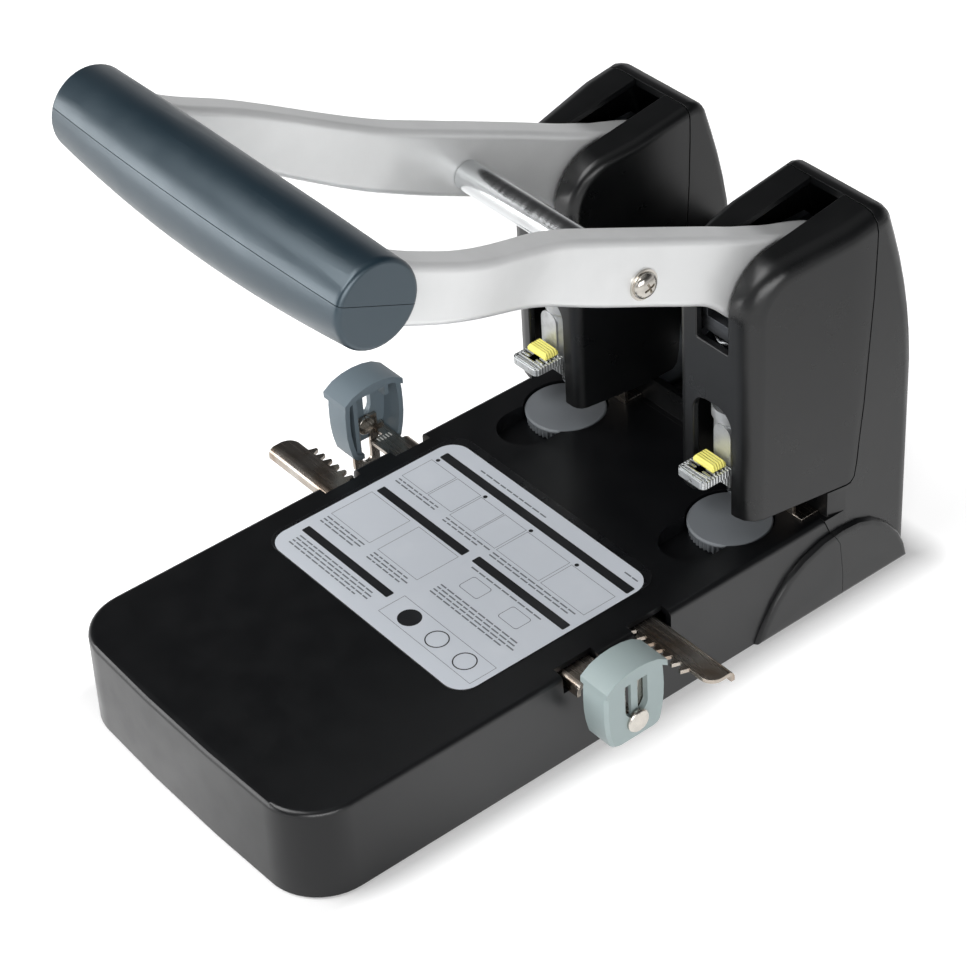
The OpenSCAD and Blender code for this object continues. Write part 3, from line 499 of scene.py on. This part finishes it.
# the arm's outline from the side, in Y and Z: its upper and its lower edge, both
# from the grip to the pivot, with the same number of points
ARM_TOP = [(-90.8, 202.6), (-86, 206.6), (-76.2, 205.8), (-60, 196.8), (-40, 187.5),
           (-20, 178.4), (0, 169.6), (20, 160.8), (40, 152), (55, 145.3), (66, 140.2),
           (74, 136.9), (81, 134), (87, 132), (93, 130), (98.5, 127.6), (102.6, 124.2),
           (104.4, 120.2), (104.3, 116.6)]
ARM_LOW = [(-91, 197.6), (-90.2, 193), (-86.2, 189.4), (-70.3, 181.4),
           (-49.5, 172), (-30.5, 162.3), (-11, 152.3), (8.5, 142.4), (28, 133.3),
           (41, 127.1), (49.5, 123), (55.2, 118.4), (59.5, 114), (64, 111.6),
           (72, 111.2), (82, 109.9), (92, 108.9), (98.5, 109.9), (102.2, 113.4)]
ARM_THICK = 11
ARM_EDGE = 2.6
HALF_PITCH = 40     # from the middle of the punch to each hole
JOGGLE = 13.5       # how far an arm steps outwards on its way to the grip
JOGGLE_LENGTH = 54
RINGS_A_STRETCH = 8
POINTS_A_CORNER = 6


def spline(points, start, t):
    """A smooth curve through the points, at the share t of the stretch from start."""
    last = len(points) - 1
    before, here = Vector(points[max(0, start - 1)]), Vector(points[start])
    there, after = Vector(points[min(last, start + 1)]), Vector(points[min(last, start + 2)])
    return 0.5 * (2 * here + (there - before) * t
                  + (2 * before - 5 * here + 4 * there - after) * t * t
                  + (3 * here - before - 3 * there + after) * t ** 3)


def arm_centre(y):
    """How far from the middle of the punch the arm is, at a place along it."""
    t = max(0, min(1, -y / JOGGLE_LENGTH))
    return HALF_PITCH + JOGGLE * t * t * (3 - 2 * t)


def arm_ring(side, top, low):
    """A section of the arm between two points of its outline, with round corners."""
    up = (top - low).normalized()
    half = (top - low).length / 2
    middle = (top + low) / 2
    ring = []
    for outer, upper, first in ((1, 1, 0), (-1, 1, 90), (-1, -1, 180), (1, -1, 270)):
        for angle in quarter_turn(first, POINTS_A_CORNER):
            across = outer * (ARM_THICK / 2 - ARM_EDGE) + ARM_EDGE * math.cos(angle)
            rise = upper * (half - ARM_EDGE) + ARM_EDGE * math.sin(angle)
            x = side * (arm_centre(middle.x) + across)
            ring.append(Vector((x, middle.x + up.x * rise, middle.y + up.y * rise)) * MM)
    return ring


def lever_arm(hand):
    """One lever arm as a smooth casting along its outline."""
    stretches = len(ARM_TOP) - 1
    rings = []
    for step in range(stretches * RINGS_A_STRETCH + 1):
        start = min(stretches - 1, step // RINGS_A_STRETCH)
        t = step / RINGS_A_STRETCH - start
        rings.append(arm_ring(SIDES[hand], spline(ARM_TOP, start, t), spline(ARM_LOW, start, t)))
    obj = loft("arm_casting_" + hand, rings)
    finish_mesh(obj, 0, CAST_ANGLE)
    seat(obj, "lever_arm_" + hand, ARM)


# ---------------------------------------------------------------------- label

LABEL_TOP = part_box("label_plate")[1][2] / MM
GUIDE_TOP = 31.4    # upper face of the rear guide plate
FIELD_THICK = 0.02
BAR_THICK = 0.03
LINE_THICK = 0.02

# the label's print in X and Y; rectangles are left, front, right and back
PALE_FIELD = (-50.4, -52.3, 47.4, 24.3)
HEADING_BARS = ((-46.4, 14.6, 46.2, 18), (-46.6, -11.3, -2.4, -8),
                (-46.9, -41, -2.5, -37.9), (1.6, -10.7, 45.6, -7.4))
PANELS = ((-47.2, -0.4, -34.2, 12), (-33.6, -0.4, -21.6, 12), (-20.9, -1.6, -9.4, 11.6),
          (-8.9, -1.6, 1.8, 11.6), (2.6, -1.6, 23.2, 11.4), (24.2, -1.6, 44.8, 11.2),
          (-47.2, -29, -27, -12.6), (-22.8, -29, -2.6, -12.4), (0.6, -46.6, 45.4, -36.2))
ROUND_PANELS = ((8, -21.2, 17, -14.6), (27, -21.2, 36, -14.6))
PANEL_LINE = 0.16
ROUND_PANEL_LINE = 0.2
DISC_AT = (9.8, -41.5)
RINGS_AT = ((23.2, -41.4), (36.6, -41.4))
RING_OUTER, RING_INNER = 3.9, 3.5
DOTS_AT = ((-45.4, 13.2), (-20.2, 12.6), (2.9, 12.4), (25.4, 12.2))
DOT_RADIUS = 0.75

# blocks of short bars: left end, Y of the first row, right end and number of rows
BLOCKS = ((-46.6, -1.9, -24, 2), (-20.6, -3.1, 1.4, 2), (3, -3.1, 45, 2),
          (-46.8, -30.6, -27.4, 3), (-22.4, -30.6, -3.4, 3), (-45, -42.8, -6, 4),
          (4, -12.4, 40, 1), (4, -24.6, 43, 4), (-31.7, 20.2, 1, 1), (38, 21, 45.4, 1))
ROW_PITCH = 1.45
ROW_BELOW, ROW_ABOVE = 0.34, 0.2
SHORT_BAR, BAR_SPREAD = 1.4, 1.9    # the shortest bar, and how much longer they get
BAR_GAP = 0.55
BAR_ROOM = 2                        # no bar starts nearer than this to the right end
LAST_ROW_SHORTER = 2.2

# the first stroke on the guide plate, and how far apart and how many they are
SCALE_MARK = (-71.2, 7.2, -69.2, 7.75)
SCALE_PITCH = 1.2
SCALE_COUNT = 5


def bar_outline(x0, y0, x1, y1, radius=0.0, count=5):
    """A rectangle, with round corners where there is a radius."""
    radius = min(radius, (x1 - x0) / 2, (y1 - y0) / 2)
    if radius <= 0:
        return [(x0, y0), (x1, y0), (x1, y1), (x0, y1)]
    points = []
    for x, y, first in ((x1 - radius, y0 + radius, -90), (x1 - radius, y1 - radius, 0),
                        (x0 + radius, y1 - radius, 90), (x0 + radius, y0 + radius, 180)):
        points += [(x + radius * math.cos(a), y + radius * math.sin(a))
                   for a in quarter_turn(first, count)]
    return points


def panel_outline(x0, y0, x1, y1, line, radius=0.0):
    """An empty panel: a rectangle and the hole that leaves a line round it."""
    return (bar_outline(x0, y0, x1, y1, radius),
            bar_outline(x0 + line, y0 + line, x1 - line, y1 - line, radius))


def disc_outline(x, y, radius, count=28):
    angles = [2 * math.pi * i / count for i in range(count)]
    return [(x + radius * math.cos(a), y + radius * math.sin(a)) for a in angles]


def uneven(x, y, row, place):
    """A number from 0 to 1 that looks random and is the same each run."""
    return abs(math.sin(12.9898 * (x + 3.1 * y + 7.7 * row + place)))


def bar_block(x0, y, x1, rows):
    """Rows of short plain bars; their lengths vary, and the last row is shorter."""
    bars = []
    for row in range(rows):
        middle = y - ROW_PITCH * row
        x = x0
        place = 0
        while x < x1 - BAR_ROOM:
            width = SHORT_BAR + BAR_SPREAD * uneven(x, y, row, place)
            end = min(x + width, x1)
            bars.append(bar_outline(x, middle - ROW_BELOW, end, middle + ROW_ABOVE))
            x += width + BAR_GAP
            place += 1
        if row == rows - 2:
            x1 -= LAST_ROW_SHORTER
    return bars


def print_shapes(name, shapes, z, thick, mat, body):
    """Flat printed shapes; a shape is an outline, or an outline and its hole."""
    bm = bmesh.new()
    for shape in shapes:
        loops = shape if isinstance(shape, tuple) else (shape,)
        low, top = ([[bm.verts.new(Vector((x, y, height)) * MM) for x, y in loop]
                     for loop in loops] for height in (z, z + thick))
        count = len(loops[0])
        if len(loops) == 1:
            bm.faces.new(top[0])
            bm.faces.new(low[0][::-1])
        for i in range(count):
            after = (i + 1) % count
            bm.faces.new((low[0][i], low[0][after], top[0][after], top[0][i]))
            if len(loops) == 2:
                bm.faces.new((top[0][i], top[0][after], top[1][after], top[1][i]))
                bm.faces.new((low[0][i], low[1][i], low[1][after], low[0][after]))
                bm.faces.new((low[1][after], low[1][i], top[1][i], top[1][after]))
    obj = mesh_object(name, bm)
    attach(obj, body)
    paint(obj, mat)


def make_label():
    """Print on the label's film: a pale field, plain bars and discs, and empty panels."""
    field = [bar_outline(*PALE_FIELD, radius=7, count=9)]
    dark = [bar_outline(*bar, radius=0.5) for bar in HEADING_BARS]
    dark.append(disc_outline(*DISC_AT, RING_OUTER))
    dark += [(disc_outline(*at, RING_OUTER), disc_outline(*at, RING_INNER)) for at in RINGS_AT]
    dark += [disc_outline(*at, DOT_RADIUS, count=14) for at in DOTS_AT]
    fine = [panel_outline(*panel, PANEL_LINE) for panel in PANELS]
    for block in BLOCKS:
        fine += bar_block(*block)
    fine += [panel_outline(*panel, ROUND_PANEL_LINE, radius=1) for panel in ROUND_PANELS]
    print_top = LABEL_TOP + FIELD_THICK
    print_shapes("label_pale_field", field, LABEL_TOP, FIELD_THICK, LABEL, "base")
    print_shapes("label_print_bars", dark, print_top, BAR_THICK, INK, "base")
    print_shapes("label_print_lines", fine, print_top, LINE_THICK, LINE, "base")


def make_scale_marks():
    """Plain white strokes on the rear guide plate, beside its stop."""
    x0, y0, x1, y1 = SCALE_MARK
    steps = [SCALE_PITCH * i for i in range(SCALE_COUNT)]
    strokes = [bar_outline(x0, y0 + step, x1, y1 + step) for step in steps]
    print_shapes("guide_scale_marks", strokes, GUIDE_TOP, BAR_THICK, MARK, "guide_rear")


# --------------------------------------------------------------------- camera

PHOTO_SIDE = 967            # pixels
FOCAL_LENGTH = 2861.22      # in pixels of the photograph
SENSOR_WIDTH = 36
CAMERA_AT = (553.6, -414.3, 607.3)
CAMERA_AIM = (-1.35, -1.78, 58.29)
CAMERA_ROLL = -3.85         # degrees
NEAREST, FARTHEST = 0.05, 20    # metres


def make_camera():
    place = Vector(CAMERA_AT) * MM
    roll = math.radians(CAMERA_ROLL)
    forward = (Vector(CAMERA_AIM) * MM - place).normalized()
    level_right = forward.cross(Vector((0, 0, 1))).normalized()
    level_up = level_right.cross(forward)
    right = level_right * math.cos(roll) + level_up * math.sin(roll)
    up = level_up * math.cos(roll) - level_right * math.sin(roll)
    data = bpy.data.cameras.new("camera")
    data.sensor_width = SENSOR_WIDTH
    data.lens = FOCAL_LENGTH / PHOTO_SIDE * SENSOR_WIDTH
    data.clip_start = NEAREST
    data.clip_end = FARTHEST
    camera = bpy.data.objects.new("camera", data)
    turn = Matrix((right, up, -forward)).transposed()
    camera.matrix_world = Matrix.Translation(place) @ turn.to_4x4()
    scene.collection.objects.link(camera)
    scene.camera = camera


# ----------------------------------------------------------- stage, in metres

FLOOR_HALF = 6
FLOOR_DROP = 0.0002     # how far the floor is below the rubber mat
FLOOR_GREY = 0.8

# the glow that the camera sees, from the base's edge to the end of a narrow band: low at the edge,
# so the lamps' shadow stays there and the floor by the base is darker, a painted shadow
FOOTPRINT = {"X": 0.064, "Y": 0.1225}    # half the base's width and length
SHADOW_WIDTH = 0.012
GLOW_IN_FOOT_SHADOW, GLOW_BEYOND = 0.2, 0.7

# the glow that reflections see, by the distance from a point: painted reflections, bright close
# round the base so that its sides reflect a bright floor, and none by its front-right corner,
# which reflects dark
AROUND_BASE = (0, 0.02)
GLOW_AROUND_BASE = ((0, 0.65), (0.14, 0.65), (0.26, 0.3), (0.45, 0.35), (0.7, 0.3), (1.2, 0.1))
FRONT_CORNER = (0.085, -0.15)
GLOW_AT_CORNER = ((0, 0.0), (0.04, 0.0), (0.1, 1.0), (0.2, 1.0))

# each lamp's name, place, aim, width, height and power in watts
LAMPS = (("softbox_top", (-0.4, -0.8, 1.4), (0, 0, 0.05), 1.0, 1.0, 18),
         ("softbox_front", (-0.95, -1.25, 0.34), (0, -0.05, 0.1), 1.3, 0.6, 11),
         ("softbox_right", (1.3, -0.7, 0.7), (0, 0, 0.1), 1.4, 0.6, 16))

# the room's light from the horizon, 0, to straight above, 1
ROOM = ((0, grey(0.8)), (0.12, grey(0.6, 1.02)), (0.32, grey(0.14, 1.02)),
        (0.5, grey(0.05, 1.02)), (0.75, grey(0.04, 1.02)), (1, grey(0.3)))


def glow_by_distance(graph, place, centre, stops):
    """Brightness by the distance from a point of the floor."""
    far = graph.new("ShaderNodeVectorMath", operation="DISTANCE")
    far.inputs[1].default_value = (*centre, 0)
    graph.link(place, far.inputs[0])
    end = stops[-1][0]
    share = graph.maths("DIVIDE", far.outputs["Value"], end)
    return graph.colour_ramp(share, [(at / end, grey(level)) for at, level in stops])


def glow_with_painted_foot_shadow(graph, place):
    """Brightness that rises from the edge of the base, so that its shadow is narrow; the dim floor
    by the base is a painted shadow.
    """
    split = graph.new("ShaderNodeSeparateXYZ")
    graph.link(place, split.inputs[0])
    squares = []
    for axis, half in FOOTPRINT.items():
        past = graph.maths("SUBTRACT", graph.maths("ABSOLUTE", split.outputs[axis]), half)
        past = graph.maths("MAXIMUM", past, 0)
        squares.append(graph.maths("MULTIPLY", past, past))
    gap = graph.maths("SQRT", graph.maths("ADD", *squares))
    rise = graph.maths("MINIMUM", graph.maths("MULTIPLY", gap, 1 / SHADOW_WIDTH), 1)
    lift = graph.maths("MULTIPLY", rise, GLOW_BEYOND - GLOW_IN_FOOT_SHADOW)
    return graph.maths("ADD", lift, GLOW_IN_FOOT_SHADOW)


def floor_material():
    """White floor; its glow is only for the camera and for reflections: a painted shadow round the
    base's foot, and painted reflections in the base's sides and corner.
    """
    mat = bpy.data.materials.new("floor_white")
    graph = Graph(mat)
    path = graph.new("ShaderNodeLightPath")
    place = graph.new("ShaderNodeTexCoord").outputs["Object"]
    near = glow_by_distance(graph, place, AROUND_BASE, GLOW_AROUND_BASE)
    # painted reflection: no glow by the base's front-right corner, so that corner looks dark
    corner = glow_by_distance(graph, place, FRONT_CORNER, GLOW_AT_CORNER)
    mirrored = graph.maths("MULTIPLY", graph.maths("MULTIPLY", near, corner),
                           path.outputs["Is Glossy Ray"])
    seen = graph.maths("MULTIPLY", path.outputs["Is Camera Ray"], glow_with_painted_foot_shadow(graph, place))
    glow = graph.new("ShaderNodeEmission")
    graph.link(graph.maths("ADD", mirrored, seen), glow.inputs["Strength"])
    diffuse = graph.new("ShaderNodeBsdfDiffuse")
    diffuse.inputs["Color"].default_value = grey(FLOOR_GREY)
    both = graph.new("ShaderNodeAddShader")
    graph.link(diffuse.outputs[0], both.inputs[0])
    graph.link(glow.outputs[0], both.inputs[1])
    out = graph.new("ShaderNodeOutputMaterial")
    graph.link(both.outputs[0], out.inputs[0])
    return mat


def make_floor():
    bm = bmesh.new()
    corners = ((-1, -1), (1, -1), (1, 1), (-1, 1))
    bm.faces.new([bm.verts.new((x * FLOOR_HALF, y * FLOOR_HALF, -FLOOR_DROP)) for x, y in corners])
    floor = mesh_object("floor", bm)
    paint(floor, floor_material())


def make_lamp(name, place, aim, width, height, power):
    data = bpy.data.lights.new(name, "AREA")
    data.shape = "RECTANGLE"
    data.size = width
    data.size_y = height
    data.energy = power
    lamp = bpy.data.objects.new(name, data)
    lamp.location = place
    lamp.rotation_euler = (Vector(aim) - Vector(place)).to_track_quat("-Z", "Y").to_euler()
    scene.collection.objects.link(lamp)


def make_room():
    """The world: white to the camera, and darker half way up for all other light."""
    world = bpy.data.worlds.new("studio")
    scene.world = world
    graph = Graph(world)
    split = graph.new("ShaderNodeSeparateXYZ")
    graph.link(graph.new("ShaderNodeTexCoord").outputs["Generated"], split.inputs[0])
    room = graph.new("ShaderNodeBackground")
    graph.link(graph.colour_ramp(split.outputs["Z"], ROOM), room.inputs["Color"])
    white = graph.new("ShaderNodeBackground")
    white.inputs["Color"].default_value = grey(1)
    mix = graph.new("ShaderNodeMixShader")
    path = graph.new("ShaderNodeLightPath")
    graph.link(path.outputs["Is Camera Ray"], mix.inputs[0])
    graph.link(room.outputs[0], mix.inputs[1])
    graph.link(white.outputs[0], mix.inputs[2])
    out = graph.new("ShaderNodeOutputWorld")
    graph.link(mix.outputs[0], out.inputs[0])


# ------------------------------------------------------------------- assembly

# each CAD node, the piece that replaces it, its surface and the width of its round
# edges in millimetres; a pair's names end in left and right
PAIRS = (("front_shell_", "tower_front_shell_", TOWER, 0.35),
         ("frame_", "tower_frame_", FRAME, 0.15),
         ("ram_", "ram_fork_", RAM, 0.2),
         ("punch_holder_", "holder_body_", HOLDER, 0.15),
         ("hollow_punch_", "punch_tube_", BAR, 0.05),
         ("release_lever_", "latch_lever_", LATCH, 0.12),
         ("button_", "latch_button_", YELLOW, 0.3),
         ("return_spring_", "coil_spring_", SPRING, 0, WIRE_ANGLE),
         ("stop_rivet_", "stop_rivet_head_", SCREW, 0.1),
         ("punch_dial_", "punch_board_", DIAL, 0.12))
SINGLES = (("base_cover", "base_shell", BLACK, 0.35),
           ("label_plate", "label_film_sheet", FILM, 0.08),
           ("rear_housing", "tower_rear_shell", TOWER, 0.3),
           ("paper_stops", "paper_stop_plates", PLATE, 0.15),
           ("pivot_shafts", "pivot_pins", BAR, 0.2),
           ("pivot_bushes", "pivot_bush_rings", BUSH, 0.2),
           ("guide_tray", "guide_channel", INNER, 0.15),
           ("guide_plate_front", "guide_blade_front", PLATE, 0.12),
           ("guide_plate_rear", "guide_blade_rear", PLATE, 0.12),
           ("guide_pinion", "pinion_wheel", NYLON, 0.08),
           ("chip_tray", "chip_drawer", TRAY, 0.3),
           ("grip_upper", "grip_shell_upper", GRIP, 0.7),
           ("grip_lower", "grip_shell_lower", GRIP, 0.7),
           ("grip_rod", "grip_core", BAR, 0.2),
           ("crossbar", "cross_bar", BAR, 0.3),
           ("crossbar_screws", "cross_bar_screws", SCREW, 0.08),
           ("drive_pins", "drive_pin_pair", BAR, 0.2))

scene.view_settings.view_transform = "Standard"
make_camera()
make_floor()
for lamp in LAMPS:
    make_lamp(*lamp)
make_room()

# these two CAD solids stay, each with its own surface
paint(nodes["base_bottom"], FRAME)
paint(nodes["non_slip_mat"], RUBBER)
make_label()
make_scale_marks()
for row in SINGLES:
    dressed(*row)
for hand in SIDES:
    for node, piece, *finish in PAIRS:
        dressed(node + hand, piece + hand, *finish)
    stop_block(hand)
    lever_arm(hand)
